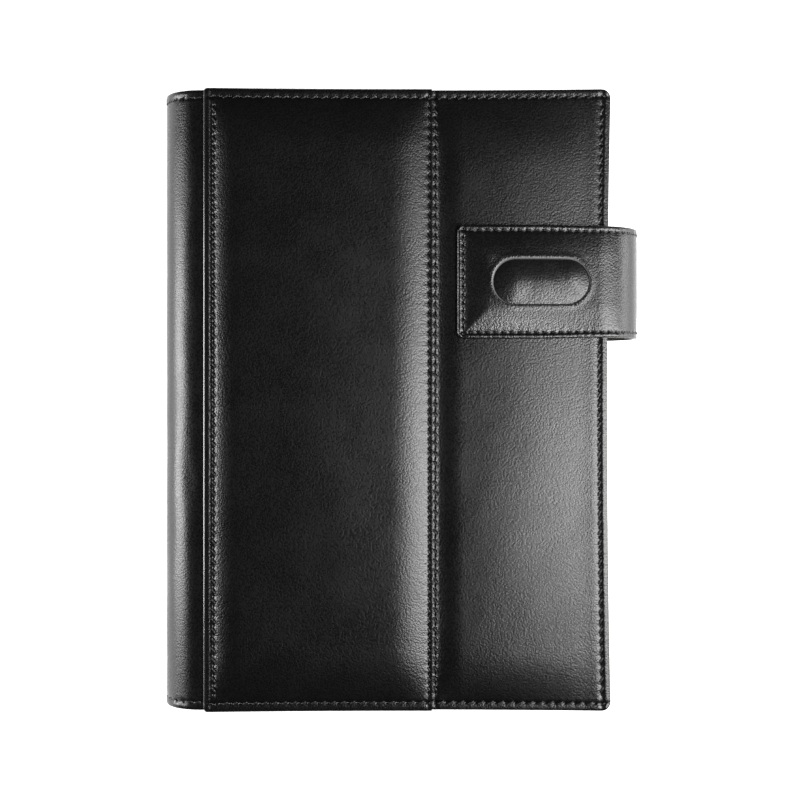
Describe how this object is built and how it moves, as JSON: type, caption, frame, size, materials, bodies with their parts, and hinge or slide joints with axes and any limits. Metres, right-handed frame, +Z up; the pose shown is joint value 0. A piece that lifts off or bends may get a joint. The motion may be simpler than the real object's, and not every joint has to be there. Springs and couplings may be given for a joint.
{
  "type": "leather notebook cover",
  "caption": "Padded leather notebook cover with a round spine, two-panel front and a windowed strap that closes over the fore-edge, holding a refill notebook.",
  "frame": {"origin": "centre of the overall box in plan, on the face that lies on the table", "axes": "+Z up out of the front cover, +Y towards the head of the pages, +X from the spine to the fore-edge"},
  "size_m": [0.1725, 0.222, 0.036],
  "materials": {
    "leather": "fine-grained, satin",
    "lining": "thin suede-like lining, matt",
    "thread": "waxed polyester thread",
    "foam": "soft padding",
    "board": "pressed board",
    "pages": "uncoated paper",
    "card": "plain kraft card",
    "magnet": "nickel-plated magnet"
  },
  "bodies": {
    "back": {"back_leather": "leather", "back_board": "board", "back_lining": "lining", "spine_lining_back": "lining", "back_pocket": "lining", "back_stitching": "thread", "strap_anchor_leather": "leather", "strap_anchor_lining": "lining", "notebook_back_card": "card", "page_block": "pages", "notebook_front_card": "card", "notebook_spine_card": "card"},
    "spine_lower": {"spine_leather_lower": "leather", "spine_lining_lower": "lining", "spine_stitching_lower": "thread"},
    "spine_upper": {"spine_leather_upper": "leather", "spine_lining_upper": "lining", "spine_stitching_upper": "thread"},
    "front": {"front_spine_leather": "leather", "front_spine_lining": "lining", "front_board": "board", "front_lining": "lining", "front_left_foam": "foam", "front_right_foam": "foam", "front_left_panel": "leather", "front_right_panel": "leather", "front_border_stitching": "thread", "seam_stitching": "thread", "lap_stitching": "thread", "cover_magnet": "magnet", "slip_pocket": "lining", "card_slot_1": "leather", "card_slot_2": "leather", "card_slot_3": "leather", "card_slot_stitching": "thread"},
    "strap_lower": {"strap_leather_lower": "leather", "strap_lining_lower": "lining", "strap_stitching_lower": "thread"},
    "strap_upper": {"strap_leather_upper": "leather", "strap_lining_upper": "lining", "strap_stitching_upper": "thread"},
    "strap_tab": {"strap_tab_leather": "leather", "strap_tab_lining": "lining", "strap_tab_foam": "foam", "window_insert": "leather", "strap_magnet": "magnet", "strap_tab_stitching": "thread"}
  },
  "joints": [
    {"name": "cover_open", "type": "hinge", "parent": "back", "child": "spine_lower", "pos_m": [-0.079, 0, 0.00188], "axis": [0, -1, 0], "range_deg": [0, 58], "deforming": ["strap_tab_leather", "strap_tab_lining", "strap_tab_foam", "window_insert", "strap_magnet", "strap_tab_stitching"]},
    {"name": "spine_bend_middle", "type": "hinge", "parent": "spine_lower", "child": "spine_upper", "pos_m": [-0.086, 0, 0.014], "axis": [0, -1, 0], "range_deg": [0, 58]},
    {"name": "spine_bend_front", "type": "hinge", "parent": "spine_upper", "child": "front", "pos_m": [-0.079, 0, 0.02612], "axis": [0, -1, 0], "range_deg": [0, 58]},
    {"name": "strap_open", "type": "hinge", "parent": "back", "child": "strap_lower", "pos_m": [0.07792, 0.0419, 0.00336], "axis": [0, 1, 0], "range_deg": [0, 58]},
    {"name": "strap_bend_middle", "type": "hinge", "parent": "strap_lower", "child": "strap_upper", "pos_m": [0.086, 0.0419, 0.01735], "axis": [0, 1, 0], "range_deg": [0, 58]},
    {"name": "strap_bend_tab", "type": "hinge", "parent": "strap_upper", "child": "strap_tab", "pos_m": [0.07792, 0.0419, 0.03134], "axis": [0, 1, 0], "range_deg": [0, 58]}
  ],
  "couplings": [
    {"joint": "spine_bend_middle", "follows": "cover_open", "ratio": 1},
    {"joint": "spine_bend_front", "follows": "cover_open", "ratio": 1},
    {"joint": "strap_bend_middle", "follows": "strap_open", "ratio": 1},
    {"joint": "strap_bend_tab", "follows": "strap_open", "ratio": 1}
  ]
}
